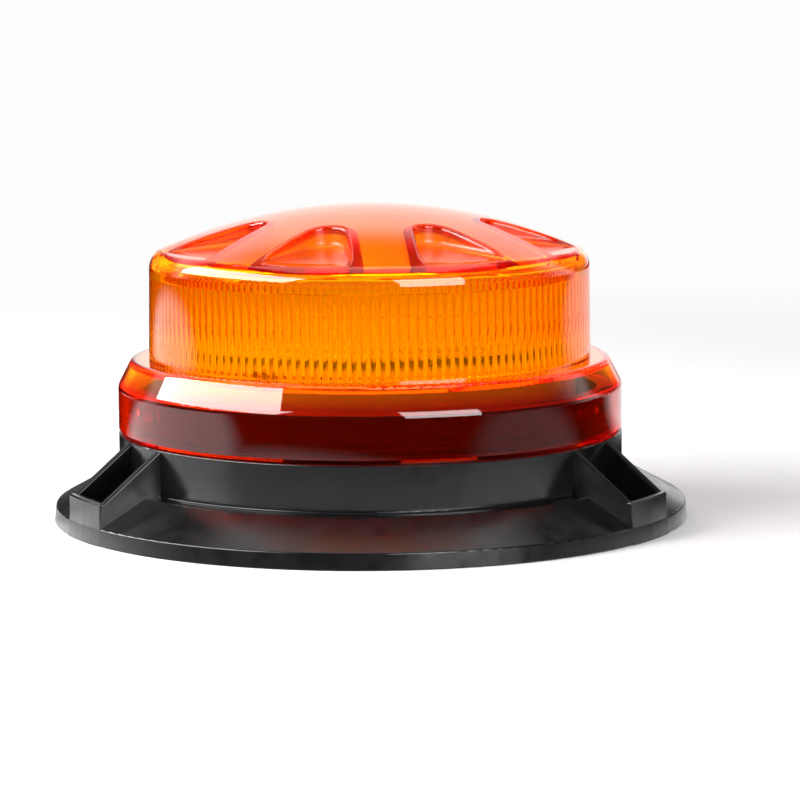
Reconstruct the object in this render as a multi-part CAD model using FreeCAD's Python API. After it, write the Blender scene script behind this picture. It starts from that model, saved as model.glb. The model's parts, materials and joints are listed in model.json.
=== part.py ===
import FreeCAD, Part
import math
import os

# Amber LED safety flare: a low battery beacon with a three-point flange.
# Millimetres. The origin is the centre of the flange's underside and +Z is up.
# Angles are in degrees about +Z from +X. The front faces -Y.

# ---------------------------------------------------------------- driving dimensions

FLANGE_R = 65.0
RIM_TOP_R = 64.6
RIM_H = 3.3
CONE_TOP_R = 54.8
LEDGE_Z = 8.6
BODY_R = 51.56
BODY_IN_R = 49.0
SHOULDER_Z = 17.8
EDGE_ROUND = 0.45

COLLAR_R = 49.4
COLLAR_IN_R = 46.2
COLLAR_TOP_Z = 27.0
DECK_Z = 19.0
DECK_TOP_Z = 21.0

POCKET_ANGLES = (-30, 90, 210)
POCKET_W = 15.0
POCKET_WALL = 1.7
POCKET_END_R = 63.1
POCKET_ROUND = 0.4
POCKET_FLOOR = 3.0
POCKET_RIM_Z = 8.4
POCKET_BACK_Z = 17.4
BOLT_CIRCLE_R = 57.5
BOLT_HOLE_R = 2.75
UNDERSIDE_RIBS = 24

LENS_BOTTOM_Z = 18.06
LENS_WALL = 2.2
SKIRT_IN_R = 49.7
SKIRT_TOP_Z = 27.4
SKIRT_ROUND = 2.5
SHOULDER_ROUND = 1.3
SKIRT_FOOT = 0.7
CHAMFER_TOP_R = 48.75
LENS_SHOULDER_Z = 32.8
LENS_R = 45.2
LENS_TOP_R = 44.92
CROWN_Z = 63.9
CROWN_R = 104.7
CROWN_EDGE_R = 4.05
SPOKES = 8
SPOKE_TURN = 6.4
SPOKE_HALF = 6.65
RECESS_END_R = 42.0
RECESS_END_Z = 54.9
RECESS_SLOPE = 6.5
RECESS_TIP_R = 4.0
RECESS_RIM_ROUND = 0.8
RECESS_FLOOR_ROUND = 1.2
RECESS_FLOOR_END_R = 38.0
FLUTES = 150
FLUTE_DEPTH = 0.9
FLUTE_Z = (33.0, 49.5)

LUG_ANGLES = (90, 210, 330)
LUG_HALF = 4.0
LUG_Z = (23.2, 25.0)
LUG_R = 48.05
TWIST = 14.0
PLAY = 0.3

PLATE_Z = (0.8, 2.8)
PLATE_R = 48.7
GASKET_R = (47.6, 48.9)
GASKET_TOP_Z = 3.6
PLATE_SCREW_R = 43.6
PLATE_SCREWS = 6

MAGNET_ANGLES = (30, 150, 270)
MAGNET_PLACE_R = 38.9
MAGNET_R = 7.5
MAGNET_H = 5.0

CELL_R = 5.25
CELL_L = 44.5
CELL_PITCH = 10.6
CELL_Z = 8.4
CELLS = 4
BAY_HALF_X = 21.3
BAY_HALF_Y = 24.5
TRAY_WALL = 1.2
TRAY_TOP_Z = 15.0
SPRING_L = 3.7
SPRING_WIRE_R = 0.3
SPRING_R = (3.4, 2.5)
SPRING_TURNS = 3.5
SPRING_RUNS_PER_TURN = 10
RIGHT_CORNER = 1
CONTACT_T = 0.4

DOOR_HALF_X = 22.9
DOOR_HALF_Y = 26.1
DOOR_TOP_Z = 2.3
HINGE_Y = 28.4
HINGE_Z = 2.2
KNUCKLE_R = 1.4
HINGE_PIN_R = 0.75
DOOR_KNUCKLES = ((-19.0, -9.0), (9.0, 19.0))

BUTTON_ANGLE = 30
BUTTON_Z = 12.6
BUTTON_R = 3.2
BUTTON_FLANGE_R = 4.0
BUTTON_PLAY = 0.1
SWITCH_BOARD_R = (39.8, 41.0)

BOARD_Z = (25.0, 26.6)
BOARD_R = 34.0
BOARD_SCREW_R = 29.0
BOARD_SCREW_ANGLES = (45, 135, 225, 315)

TOWER_FLATS = 26.0
TOWER_BORE_R = 5.0
HEAD_FLATS = (44.0, 18.0)
HEAD_Z = (34.1, 35.0, 40.5)
LED_BOARD_ENDS = (1.0, 13.0)
LED_BOARD_WIDTHS = (9.6, 21.0)
LED_BOARD_T = 1.0
TOP_LED_BOARD_R = 8.4
LED_SIZE = 3.5
LED_H = 1.2
SIDE_LED_SPOTS = ((4.0, 0.0), (9.8, -4.6), (9.8, 4.6))
TOP_LED_R = 4.6
TOP_LEDS = 4
SIDES = 6

REFLECTOR_R = 42.0
REFLECTOR_IN_R = 17.5
REFLECTOR_T = 1.2
REFLECTOR_TOP_Z = 32.4
REFLECTOR_SCREW_R = 37.6
REFLECTOR_SCREW_ANGLES = (0, 120, 240)

LEAD_R = 0.65
THREAD_PLAY = 0.02

Z_AXIS = FreeCAD.Vector(0, 0, 1)
ORIGIN = FreeCAD.Vector(0, 0, 0)

# ---------------------------------------------------------------- shape helpers


def vec(x, y, z):
    return FreeCAD.Vector(x, y, z)


def turned(shape, degrees):
    """A copy of shape turned about +Z."""
    copy = shape.copy()
    copy.rotate(ORIGIN, Z_AXIS, degrees)
    return copy


def around(shape, angles):
    return [turned(shape, angle) for angle in angles]


def joined(shapes):
    """One solid fused from shapes that meet."""
    first, rest = shapes[0], shapes[1:]
    return first.fuse(rest).removeSplitter() if rest else first


def cylinder(radius, z0, z1, x=0.0, y=0.0):
    return Part.makeCylinder(radius, z1 - z0, vec(x, y, z0))


def cone(r0, r1, z0, z1, x=0.0, y=0.0):
    return Part.makeCone(r0, r1, z1 - z0, vec(x, y, z0))


def ring(outer, inner, z0, z1, x=0.0, y=0.0):
    return cylinder(outer, z0, z1, x, y).cut(cylinder(inner, z0, z1, x, y))


def box(x0, x1, y0, y1, z0, z1):
    return Part.makeBox(x1 - x0, y1 - y0, z1 - z0, vec(x0, y0, z0))


def radial_cylinder(radius, x0, x1, z, y=0.0):
    return Part.makeCylinder(radius, x1 - x0, vec(x0, y, z), vec(1, 0, 0))


def outline(corners, place):
    """A closed wire through corners (a, b, radius), each corner rounded by its radius.

    place turns the flat point (a, b) into a point in space.
    """
    count = len(corners)
    starts, ends, middles = [], [], []
    for i, (a, b, radius) in enumerate(corners):
        before, after = corners[i - 1], corners[(i + 1) % count]
        back = (before[0] - a, before[1] - b)
        onward = (after[0] - a, after[1] - b)
        back_l, on_l = math.hypot(*back), math.hypot(*onward)
        back = (back[0] / back_l, back[1] / back_l)
        onward = (onward[0] / on_l, onward[1] / on_l)
        half = math.acos(max(-1.0, min(1.0, back[0] * onward[0] + back[1] * onward[1]))) / 2
        reach = radius / math.tan(half)
        middle = (back[0] + onward[0], back[1] + onward[1])
        middle_l = math.hypot(*middle) or 1.0
        inset = radius / math.sin(half) - radius
        starts.append((a + back[0] * reach, b + back[1] * reach))
        ends.append((a + onward[0] * reach, b + onward[1] * reach))
        middles.append((a + middle[0] / middle_l * inset, b + middle[1] / middle_l * inset))
    edges = []
    for i, corner in enumerate(corners):
        if corner[2] > 0:
            edges.append(Part.Arc(place(*starts[i]), place(*middles[i]), place(*ends[i])).toShape())
        here, there = ends[i], starts[(i + 1) % count]
        if math.dist(here, there) > 1e-6:
            edges.append(Part.LineSegment(place(*here), place(*there)).toShape())
    return Part.Wire(edges)


def upright(a, b):
    """A point of a half section: a is the radius and b is the height."""
    return vec(a, 0, b)


def flat(a, b):
    return vec(a, b, 0)


def turned_solid(corners, degrees=360.0):
    """The corners' outline in the half section, revolved about +Z."""
    face = Part.Face(outline(corners, upright))
    return face.revolve(ORIGIN, Z_AXIS, degrees)


def sector(r_in, r_out, z0, z1, a0, a1):
    """A piece of a ring between the angles a0 and a1."""
    corners = [(r_in, z0, 0), (r_out, z0, 0), (r_out, z1, 0), (r_in, z1, 0)]
    return turned(turned_solid(corners, a1 - a0), a0)


def plate_outline(corners, z0, z1):
    """The flat outline of corners, raised from z0 to z1."""
    face = Part.Face(outline(corners, flat))
    face.translate(vec(0, 0, z0))
    return face.extrude(vec(0, 0, z1 - z0))


def rounded_box(half_x, half_y, z0, z1, radius):
    corners = [(-half_x, -half_y, radius), (half_x, -half_y, radius)]
    corners += [(half_x, half_y, radius), (-half_x, half_y, radius)]
    return plate_outline(corners, z0, z1)


def section_block(corners, half_width):
    """A radial slab: the outline in the half section, from -half_width to half_width in y."""
    face = Part.Face(outline(corners, upright))
    face.translate(vec(0, -half_width, 0))
    return face.extrude(vec(0, 2 * half_width, 0))


def tube(points, radius, bend):
    """A round lead along points, with a tangent arc of radius bend at each inner point."""
    edges = []
    here = points[0]
    for i in range(1, len(points) - 1):
        corner = points[i]
        back = (points[i - 1] - corner).normalize()
        onward = (points[i + 1] - corner).normalize()
        half = back.getAngle(onward) / 2
        reach = bend / math.tan(half)
        start = corner + back * reach
        end = corner + onward * reach
        middle = corner + (back + onward).normalize() * (bend / math.sin(half) - bend)
        edges.append(Part.LineSegment(here, start).toShape())
        edges.append(Part.Arc(start, middle, end).toShape())
        here = end
    edges.append(Part.LineSegment(here, points[-1]).toShape())
    path = Part.Wire(edges)
    direction = points[1] - points[0]
    section = Part.Wire(Part.makeCircle(radius, points[0], direction))
    return path.makePipeShell([section], True, True)


def polar(radius, degrees):
    """The x and y of a point at a radius and an angle."""
    turn = math.radians(degrees)
    return radius * math.cos(turn), radius * math.sin(turn)


def save(name, shapes):
    """Writes parts/NAME.step, holding one solid or a group of separate solids."""
    solids = [solid for shape in shapes for solid in shape.Solids]
    for solid in solids:
        if not solid.isValid() or not solid.isClosed():
            raise ValueError(name + " holds a solid that is not closed and valid")
    group = solids[0] if len(solids) == 1 else Part.makeCompound(solids)
    group.exportStep("parts/" + name + ".step")
    volume = sum(solid.Volume for solid in solids)
    print("%-24s %2d solid(s) %10.1f mm3" % (name, len(solids), volume))


# ---------------------------------------------------------------- fasteners


def pan_screw(shank_r, head_r, head_z, tip_z, head_h, x=0.0, y=0.0):
    """A screw whose head sits on head_z and whose shank ends at tip_z, above or below it."""
    step = 1 if tip_z > head_z else -1
    head_ends = sorted((head_z, head_z - step * head_h))
    head = cylinder(head_r, head_ends[0], head_ends[1], x, y)
    shank_ends = sorted((head_z, tip_z))
    shank = cylinder(shank_r, shank_ends[0], shank_ends[1], x, y)
    drive_far = head_z - step * head_h
    drive_ends = sorted((drive_far, drive_far + step * head_h * 0.6))
    slot = box(x - head_r * 0.6, x + head_r * 0.6, y - 0.25, y + 0.25, *drive_ends)
    cross = box(x - 0.25, x + 0.25, y - head_r * 0.6, y + head_r * 0.6, *drive_ends)
    return joined([head, shank]).cut(slot).cut(cross)


def countersunk_screw(x, y, z0, head_r, shank_r, tip_z):
    """A screw driven upwards, with its flat head's face at z0."""
    sink = head_r - shank_r
    head = cone(head_r, shank_r, z0, z0 + sink, x, y)
    shank = cylinder(shank_r, z0 + sink, tip_z, x, y)
    slot = box(x - head_r * 0.6, x + head_r * 0.6, y - 0.3, y + 0.3, z0, z0 + 0.9)
    cross = box(x - 0.3, x + 0.3, y - head_r * 0.6, y + head_r * 0.6, z0, z0 + 0.9)
    return joined([head, shank]).cut(slot).cut(cross)


# ---------------------------------------------------------------- base housing


def housing_shell():
    """The turned body: flange, cone, wall, collar and deck."""
    corners = [
        (BODY_IN_R, 0, 0),
        (BODY_R, 0, 0),
        (BODY_R, 6.0, 0.5),
        (54.2, 6.0, 0.5),
        (62.4, 1.7, 0.4),
        (62.4, 0, 0),
        (FLANGE_R, 0, 0.2),
        (RIM_TOP_R, RIM_H, EDGE_ROUND),
        (CONE_TOP_R, LEDGE_Z, EDGE_ROUND),
        (BODY_R, LEDGE_Z, 0.3),
        (BODY_R, SHOULDER_Z, 0.25),
        (COLLAR_R, SHOULDER_Z, 0),
        (COLLAR_R, COLLAR_TOP_Z, 0.4),
        (COLLAR_IN_R, COLLAR_TOP_Z, 0.4),
        (COLLAR_IN_R, DECK_TOP_Z, 0),
        (0, DECK_TOP_Z, 0),
        (0, DECK_Z, 0),
        (46.4, DECK_Z, 0),
        (46.4, 18.2, 0),
        (BODY_IN_R, 16.4, 0),
        (BODY_IN_R, 5.2, 0),
        (47.4, 5.2, 0),
        (47.4, GASKET_TOP_Z, 0),
        (BODY_IN_R, GASKET_TOP_Z, 0),
    ]
    return turned_solid(corners)


def pocket_block():
    """A bolt pocket before it is hollowed: sloped sides and an end wall in the flange's rim."""
    corners = [
        (BODY_R - 0.8, 0, 0),
        (FLANGE_R + 1, 0, 0),
        (FLANGE_R + 1, POCKET_RIM_Z, 0),
        (POCKET_END_R, POCKET_RIM_Z, 0),
        (BODY_R, POCKET_BACK_Z, 0),
        (BODY_R - 0.8, POCKET_BACK_Z, 0),
    ]
    slab = section_block(corners, POCKET_W / 2)
    rim = joined([
        cone(FLANGE_R, RIM_TOP_R, 0, RIM_H),
        cone(RIM_TOP_R, RIM_TOP_R - 0.15, RIM_H, POCKET_BACK_Z + 1),
    ])
    return slab.common(rim)


def pocket_hollow():
    half = POCKET_W / 2 - POCKET_WALL
    hollow = box(BODY_R - 3, POCKET_END_R, -half, half, POCKET_FLOOR, SHOULDER_Z + 1)
    return hollow.cut(cylinder(BODY_R, 0, SHOULDER_Z + 2))


def pocket():
    """A hollowed bolt pocket whose side walls and outer corners are rounded."""
    shape = pocket_block().cut(pocket_hollow())
    rise = (POCKET_BACK_Z - POCKET_RIM_Z) / (POCKET_END_R - BODY_R)
    rounded = []
    for edge in shape.Edges:
        first, last = edge.Vertexes[0].Point, edge.Vertexes[-1].Point
        middle = edge.CenterOfMass
        top_z = POCKET_RIM_Z + max(0.0, POCKET_END_R - middle.x) * rise
        lies_on_top = abs(middle.z - top_z) < 0.01
        runs_outwards = abs(first.y - last.y) < 0.01 and abs(first.x - last.x) > 0.1
        along_rim = middle.x > POCKET_END_R + 0.9
        upright_corner = POCKET_RIM_Z > middle.z > RIM_H + 0.1 and abs(middle.y) > POCKET_W / 2 - 0.01
        if lies_on_top and (runs_outwards or along_rim) or upright_corner and along_rim:
            rounded.append(edge)
    return shape.makeFillet(POCKET_ROUND, rounded)


def underside_rib():
    """A thin rib across the hollow under the flange."""
    corners = [
        (BODY_R - 0.5, 0.5, 0),
        (62.8, 0.5, 0),
        (62.8, 2.2, 0),
        (54.4, 6.6, 0),
        (BODY_R - 0.5, 6.6, 0),
    ]
    return section_block(corners, 0.7)


def bayonet_slot():
    """The L-shaped way of one lens lug, cut into the collar: its run and its mouth."""
    floor_r = LUG_R - PLAY
    low = LUG_Z[0] - PLAY
    high = LUG_Z[1] + PLAY
    end = TWIST + LUG_HALF + PLAY
    run = sector(floor_r, COLLAR_R + 1, low, high, -LUG_HALF - PLAY, end)
    mouth = sector(floor_r, COLLAR_R + 1, low, COLLAR_TOP_Z + 1, TWIST - LUG_HALF - PLAY, end)
    return joined([run, mouth])


def switch_posts():
    """Two slotted posts under the deck that hold the switch board."""
    inner, outer = SWITCH_BOARD_R
    posts = []
    for side in (-1, 1):
        y_ends = sorted((side * 6.2, side * 8.6))
        posts.append(box(inner - 0.9, outer + 0.9, y_ends[0], y_ends[1], 9.4, DECK_Z + 0.5))
    slot = box(inner - 0.05, outer + 0.05, -7.05, 7.05, 8.0, 17.45)
    return [turned(post.cut(slot), BUTTON_ANGLE) for post in posts]


def base_housing():
    shell = housing_shell()
    added = around(underside_rib(), [i * 360 / UNDERSIDE_RIBS + 7.5 for i in range(UNDERSIDE_RIBS)])
    added += around(pocket(), POCKET_ANGLES)
    plate_bosses = []
    for i in range(PLATE_SCREWS):
        boss = cylinder(3.2, PLATE_Z[1], DECK_Z + 0.5, PLATE_SCREW_R)
        web = box(PLATE_SCREW_R, BODY_IN_R + 0.5, -0.9, 0.9, 5.2, 16.0)
        plate_bosses.append(turned(joined([boss, web]), i * 360 / PLATE_SCREWS))
    added += plate_bosses
    added += around(cylinder(3.0, DECK_TOP_Z - 0.5, BOARD_Z[0], BOARD_SCREW_R), BOARD_SCREW_ANGLES)
    reflector_boss_top = REFLECTOR_TOP_Z - REFLECTOR_T
    reflector_boss = cylinder(2.5, DECK_TOP_Z - 0.5, reflector_boss_top, REFLECTOR_SCREW_R)
    added += around(reflector_boss, REFLECTOR_SCREW_ANGLES)
    added += around(cylinder(2.4, TRAY_TOP_Z, DECK_Z + 0.5, 26.5), (25, 155, 205, 335))
    added += switch_posts()
    boss = radial_cylinder(5.0, 47.0, 49.3, BUTTON_Z)
    added.append(turned(boss, BUTTON_ANGLE))
    body = joined([shell] + added)

    cuts = around(pocket_hollow(), POCKET_ANGLES)
    cuts += around(cylinder(BOLT_HOLE_R, -1, POCKET_FLOOR + 1, BOLT_CIRCLE_R), POCKET_ANGLES)
    cuts += around(bayonet_slot(), LUG_ANGLES)
    cuts.append(ring(COLLAR_R + 0.5, 47.75, 19.5, 21.5))
    pilot = cylinder(1.5 + THREAD_PLAY, PLATE_Z[1] - 1, 11.4, PLATE_SCREW_R)
    cuts += around(pilot, [i * 360 / PLATE_SCREWS for i in range(PLATE_SCREWS)])
    board_pilot = cylinder(1.25 + THREAD_PLAY, DECK_Z + 0.8, BOARD_Z[0] + 1, BOARD_SCREW_R)
    cuts += around(board_pilot, BOARD_SCREW_ANGLES)
    reflector_pilot = cylinder(1.25 + THREAD_PLAY, 24.0, REFLECTOR_TOP_Z, REFLECTOR_SCREW_R)
    cuts += around(reflector_pilot, REFLECTOR_SCREW_ANGLES)
    button_bore = radial_cylinder(BUTTON_R + BUTTON_PLAY, 46.0, 53.0, BUTTON_Z)
    cuts.append(turned(button_bore, BUTTON_ANGLE))
    for lead_x in (-cell_x(CELLS - 1), cell_x(CELLS - 1)):
        cuts.append(cylinder(2.0, DECK_Z - 1, DECK_TOP_Z + 1, lead_x, -lead_y()))
    cuts.append(turned(cylinder(2.6, DECK_Z - 1, DECK_TOP_Z + 1, 38.2), BUTTON_ANGLE))
    return body.cut(cuts)


# ---------------------------------------------------------------- base plate and magnets


def base_plate():
    plate = cylinder(PLATE_R, *PLATE_Z)
    pocket_r = MAGNET_R + 0.1
    roof = MAGNET_H + 1.2
    cup = cylinder(pocket_r + 0.9, PLATE_Z[0], roof, MAGNET_PLACE_R)
    boss = cylinder(2.9, roof - 0.2, 8.4, MAGNET_PLACE_R)
    plate = joined([plate] + around(joined([cup, boss]), MAGNET_ANGLES))
    plate = plate.cut(around(cylinder(pocket_r, -1, MAGNET_H + 0.05, MAGNET_PLACE_R), MAGNET_ANGLES))
    pilot = cylinder(1.5 + THREAD_PLAY, MAGNET_H - 1, 8.0, MAGNET_PLACE_R)
    plate = plate.cut(around(pilot, MAGNET_ANGLES))
    plate = plate.cut(box(-DOOR_HALF_X - PLAY, DOOR_HALF_X + PLAY, -DOOR_HALF_Y - PLAY,
                          DOOR_HALF_Y + PLAY, -1, PLATE_Z[1] + 1))
    barrel_length = DOOR_KNUCKLES[1][0] - DOOR_KNUCKLES[0][1] - 2 * PLAY
    spans = [(-barrel_length / 2, barrel_length / 2)]
    spans += [(-DOOR_HALF_X, DOOR_KNUCKLES[0][0] - PLAY), (DOOR_KNUCKLES[1][1] + PLAY, DOOR_HALF_X)]
    hinge_room = box(-DOOR_HALF_X - PLAY, DOOR_HALF_X + PLAY, DOOR_HALF_Y, HINGE_Y + 1.9,
                     -1, PLATE_Z[1] + 1)
    plate = plate.cut(hinge_room)
    barrels = []
    for x0, x1 in spans:
        barrel = radial_cylinder(KNUCKLE_R, x0, x1, HINGE_Z, HINGE_Y)
        arm = box(x0, x1, HINGE_Y, HINGE_Y + 2.2, PLATE_Z[0], PLATE_Z[1])
        barrels += [barrel, arm]
    plate = joined([plate] + barrels)
    plate = plate.cut(radial_cylinder(HINGE_PIN_R + THREAD_PLAY, -DOOR_HALF_X - 0.2,
                                      DOOR_HALF_X + 0.2, HINGE_Z, HINGE_Y))
    finger_notch = cylinder(7.0, -1, PLATE_Z[0] + 1.0, 0, -DOOR_HALF_Y - 3.2)
    plate = plate.cut(finger_notch.cut(box(-9, 9, -DOOR_HALF_Y - PLAY, 0, -2, 4)))
    seat = cone(3.0, 1.6, PLATE_Z[0], PLATE_Z[0] + 1.4, PLATE_SCREW_R)
    hole = cylinder(1.6, -1, PLATE_Z[1] + 1, PLATE_SCREW_R)
    angles = [i * 360 / PLATE_SCREWS for i in range(PLATE_SCREWS)]
    return plate.cut(around(seat, angles) + around(hole, angles))


def magnet_cup():
    """A steel pot, open downwards, that holds a ring magnet."""
    body = cylinder(MAGNET_R, 0, MAGNET_H, MAGNET_PLACE_R)
    body = body.cut(cylinder(6.5, -1, 3.5, MAGNET_PLACE_R))
    return body.cut(cylinder(1.6, 0, MAGNET_H + 1, MAGNET_PLACE_R))


def base_plate_screws():
    screw = countersunk_screw(PLATE_SCREW_R, 0, PLATE_Z[0] + 0.02, 2.9, 1.5, 10.8)
    return around(screw, [i * 360 / PLATE_SCREWS for i in range(PLATE_SCREWS)])


def save_base_plate_parts():
    save("base_plate", [base_plate()])
    save("base_plate_gasket", [ring(GASKET_R[1], GASKET_R[0], PLATE_Z[1], GASKET_TOP_Z)])
    save("base_plate_screws", base_plate_screws())
    for i, angle in enumerate(MAGNET_ANGLES, 1):
        save("magnet_cup_%d" % i, [turned(magnet_cup(), angle)])
        save("ring_magnet_%d" % i, [turned(ring(6.4, 3.0, 0.1, 3.5, MAGNET_PLACE_R), angle)])
    screw = pan_screw(1.5, 2.7, 3.5, 7.9, 1.5, MAGNET_PLACE_R)
    save("magnet_screws", around(screw, MAGNET_ANGLES))


# ---------------------------------------------------------------- battery bay


def cell_x(index):
    return (index - (CELLS - 1) / 2) * CELL_PITCH


def lead_y():
    """How far behind the bay's middle the terminal tabs and their leads stand."""
    return BAY_HALF_Y - CONTACT_T / 2


def battery_tray():
    outer = box(-BAY_HALF_X - TRAY_WALL, BAY_HALF_X + TRAY_WALL, -BAY_HALF_Y - TRAY_WALL,
                BAY_HALF_Y + TRAY_WALL, PLATE_Z[1], TRAY_TOP_Z)
    lip = box(-24.6, 24.6, -27.8, 26.7, PLATE_Z[1], PLATE_Z[1] + 1.0)
    tray = joined([outer, lip])
    bay_roof = TRAY_TOP_Z - 1.0
    tray = tray.cut(box(-BAY_HALF_X, BAY_HALF_X, -BAY_HALF_Y, BAY_HALF_Y, 0, bay_roof))
    ridges = []
    for i in range(CELLS - 1):
        x = (cell_x(i) + cell_x(i + 1)) / 2
        ridges.append(box(x - 0.5, x + 0.5, -18, 18, 12.3, bay_roof + 0.1))
    tray = joined([tray] + ridges)
    slots = []
    for x in (cell_x(0), cell_x(CELLS - 1)):
        slots.append(box(x - 1.7, x + 1.7, -BAY_HALF_Y - 0.2, -BAY_HALF_Y + 0.6, 12, TRAY_TOP_Z + 1))
    return tray.cut(slots)


def battery_cell(index):
    """A cell with its nipple towards -Y when index is even, and +Y when it is odd."""
    x = cell_x(index)
    nipple = 0.9
    side = -1 if index % 2 == 0 else 1
    plate_y = side * (BAY_HALF_Y - CONTACT_T)
    body_y = plate_y - side * nipple
    far_y = plate_y - side * CELL_L
    low, high = sorted((body_y, far_y))
    body = Part.makeCylinder(CELL_R, high - low, vec(x, low, CELL_Z), vec(0, 1, 0))
    body = body.makeFillet(0.5, [e for e in body.Edges if e.Closed])
    low, high = sorted((plate_y, body_y + side * -0.6))
    nub = Part.makeCylinder(1.9, high - low, vec(x, low, CELL_Z), vec(0, 1, 0))
    return joined([body, nub])


def contact_plates():
    """Two terminals and three bridges that put the cells in series."""
    low, high = 4.6, 12.2
    front = -BAY_HALF_Y
    back = BAY_HALF_Y - CONTACT_T
    plates = []
    for index in (0, CELLS - 1):
        x = cell_x(index)
        plate = box(x - 4, x + 4, front, front + CONTACT_T, low, high)
        tab = box(x - 1.5, x + 1.5, front, front + CONTACT_T, high - 0.5, 16.8)
        plates.append(joined([plate, tab]))
    for first, y in ((1, front), (0, back), (2, back)):
        x0, x1 = cell_x(first) - 4, cell_x(first + 1) + 4
        plates.append(box(x0, x1, y, y + CONTACT_T, low, high))
    return plates


def contact_spring(index):
    """A conical coil between a plate and a cell's flat end, bent from short straight runs."""
    side = 1 if index % 2 == 0 else -1
    height = SPRING_L - 2 * SPRING_WIRE_R - 0.05
    runs = int(SPRING_TURNS * SPRING_RUNS_PER_TURN)
    points = []
    for i in range(runs + 1):
        part_way = i / runs
        radius = SPRING_R[0] + (SPRING_R[1] - SPRING_R[0]) * part_way
        x, y = polar(radius, 360 * i / SPRING_RUNS_PER_TURN)
        points.append(vec(x, y, height * part_way))
    section = Part.Wire(Part.makeCircle(SPRING_WIRE_R, points[0], points[1] - points[0]))
    coil = Part.makePolygon(points).makePipeShell([section], True, False, RIGHT_CORNER)
    coil.rotate(ORIGIN, vec(1, 0, 0), 90 * side)
    y = side * (BAY_HALF_Y - CONTACT_T - SPRING_WIRE_R)
    coil.translate(vec(cell_x(index), y, CELL_Z))
    return coil


def battery_lead(index):
    """A lead that runs from a terminal's tab up through the deck to the driver board."""
    x = cell_x(index)
    y = -lead_y()
    points = [vec(x, y, 16.82), vec(x, y, BOARD_Z[1] + 0.6)]
    return tube(points, LEAD_R, 1.0)


def save_battery_parts():
    save("battery_tray", [battery_tray()])
    for index in range(CELLS):
        save("battery_cell_%d" % (index + 1), [battery_cell(index)])
    save("contact_plates", contact_plates())
    save("contact_springs", [contact_spring(index) for index in range(CELLS)])
    save("battery_lead_red", [battery_lead(0)])
    save("battery_lead_black", [battery_lead(CELLS - 1)])


# ---------------------------------------------------------------- battery door


def battery_door():
    low = PLATE_Z[0]
    panel = rounded_box(DOOR_HALF_X, DOOR_HALF_Y, low, DOOR_TOP_Z, 0.8)
    parts = [panel]
    for x0, x1 in DOOR_KNUCKLES:
        parts.append(radial_cylinder(KNUCKLE_R, x0, x1, HINGE_Z, HINGE_Y))
        parts.append(box(x0, x1, DOOR_HALF_Y - 0.5, HINGE_Y, low, HINGE_Z - 0.1))
    for y in (-14, -7, 0, 7, 14):
        parts.append(box(-19, 19, y - 0.6, y + 0.6, DOOR_TOP_Z - 0.1, DOOR_TOP_Z + 0.4))
    door = joined(parts)
    door = door.cut(radial_cylinder(HINGE_PIN_R + 0.05, -30, 30, HINGE_Z, HINGE_Y))
    tongue = box(-6, -5, -DOOR_HALF_Y - 1, -DOOR_HALF_Y + 7, -1, 4)
    other = box(5, 6, -DOOR_HALF_Y - 1, -DOOR_HALF_Y + 7, -1, 4)
    grips = [box(-4, 4, y, y + 0.7, low - 1, low + 0.35) for y in (-24.6, -23.0, -21.4)]
    return door.cut([tongue, other] + grips)


def save_door_parts():
    save("battery_door", [battery_door()])
    seal = rounded_box(22.5, 25.7, DOOR_TOP_Z, DOOR_TOP_Z + 0.45, 0.8)
    seal = seal.cut(rounded_box(21.4, 24.6, DOOR_TOP_Z - 1, DOOR_TOP_Z + 1, 0.4))
    latch_gap = box(-6.2, 6.2, -26, -19.0, DOOR_TOP_Z - 1, DOOR_TOP_Z + 1)
    save("door_seal", [seal.cut(latch_gap)])
    pin = radial_cylinder(HINGE_PIN_R, -DOOR_HALF_X, DOOR_HALF_X, HINGE_Z, HINGE_Y)
    save("hinge_pin", [pin])


# ---------------------------------------------------------------- mode button and its switch


def mode_button():
    cap = radial_cylinder(BUTTON_R, 46.0, 52.7, BUTTON_Z)
    rim = [e for e in cap.Edges if e.Closed and e.CenterOfMass.x > 52]
    cap = cap.makeFillet(0.5, rim)
    flange = radial_cylinder(BUTTON_FLANGE_R, 45.6, 46.8, BUTTON_Z)
    dish = Part.makeSphere(12.0, vec(52.7 + 11.6, 0, BUTTON_Z))
    return turned(joined([cap, flange]).cut(dish), BUTTON_ANGLE)


def switch_body():
    body = box(SWITCH_BOARD_R[1], 44.5, -3, 3, BUTTON_Z - 3, BUTTON_Z + 3)
    bore = radial_cylinder(1.9, 43.0, 45.0, BUTTON_Z)
    return turned(body.cut(bore), BUTTON_ANGLE)


def switch_leads():
    """Two leads from the switch board, up through the deck and over onto the driver board."""
    leads = []
    for y in (-0.8, 0.8):
        points = [vec(SWITCH_BOARD_R[0], y, 13.0), vec(38.2, y, 13.0), vec(38.2, y, 29.4),
                  vec(31.0, y, 29.4), vec(31.0, y, BOARD_Z[1])]
        leads.append(turned(tube(points, 0.5, 1.3), BUTTON_ANGLE))
    return leads


def save_button_parts():
    save("mode_button", [mode_button()])
    save("switch_plunger", [turned(radial_cylinder(1.7, 44.2, 45.6, BUTTON_Z), BUTTON_ANGLE)])
    save("switch_body", [switch_body()])
    board = box(SWITCH_BOARD_R[0], SWITCH_BOARD_R[1], -7, 7, 9.0, 17.4)
    save("switch_board", [turned(board, BUTTON_ANGLE)])
    save("switch_leads", switch_leads())


# ---------------------------------------------------------------- driver board


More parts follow.
